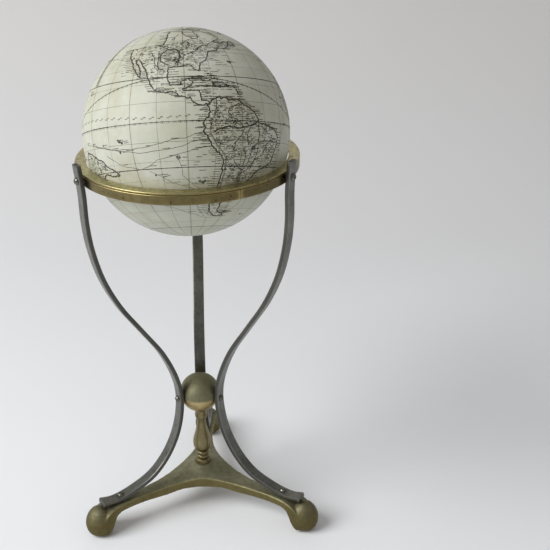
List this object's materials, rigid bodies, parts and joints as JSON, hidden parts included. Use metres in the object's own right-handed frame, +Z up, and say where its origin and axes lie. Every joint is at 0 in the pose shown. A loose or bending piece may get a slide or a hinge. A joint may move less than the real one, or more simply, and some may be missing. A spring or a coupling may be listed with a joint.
{
  "type": "table globe on tripod stand",
  "caption": "Table globe lying loose in a brass horizon ring, held by bent steel straps on a ball, turned column and cast three-armed base.",
  "frame": {"origin": "on the floor, under the middle of the object's box; the stand's own axis is 15.0 mm towards -Y from it", "axes": "+Z up along the stand's axis, -Y towards the front between two feet, +X to the viewer's right, third foot at +Y"},
  "size_m": [0.2256, 0.2266, 0.4731],
  "materials": {
    "map_paper": "varnished engraved paper gores, glossy, aged cream with a greenish tone",
    "pasteboard": "raw pasteboard, matt",
    "pillar_wood": "turned wood, unfinished",
    "sheet_brass": "rolled brass, aged and pitted, half polished",
    "turned_brass": "turned brass, olive tarnish",
    "cast_brass": "sand cast brass, olive brown patina, soft edges",
    "strap_steel": "dark oxidised flat bar, satin, lengthwise drawing lines",
    "screw_steel": "turned steel, dull"
  },
  "bodies": {
    "stand": {"base_casting": "cast_brass", "column": "turned_brass", "ball": "turned_brass", "tie_rod": "screw_steel", "base_washer": "screw_steel", "base_nut": "screw_steel", "ring_hoop": "sheet_brass", "ring_plate": "sheet_brass", "leg_left": "strap_steel", "leg_right": "strap_steel", "leg_back": "strap_steel", "ring_screw_left": "screw_steel", "ring_screw_right": "screw_steel", "ring_screw_back": "screw_steel", "ball_screw_left": "screw_steel", "ball_screw_right": "screw_steel", "ball_screw_back": "screw_steel", "foot_screw_left": "screw_steel", "foot_screw_right": "screw_steel", "foot_screw_back": "screw_steel"},
    "globe_core": {"axis_pillar": "pillar_wood"},
    "globe": {"north_shell": "map_paper", "south_shell": "map_paper", "equator_lap_ring": "pasteboard"}
  },
  "joints": [
    {"name": "globe_lift", "type": "slide", "parent": "stand", "child": "globe_core", "axis": [0, 0, 1], "range_m": [0, 0.1]},
    {"name": "globe_spin", "type": "hinge", "parent": "globe_core", "child": "globe", "pos_m": [0, -0.01495, 0.3833], "axis": [-0.0222, 0.3965, 0.9178], "continuous": true}
  ]
}
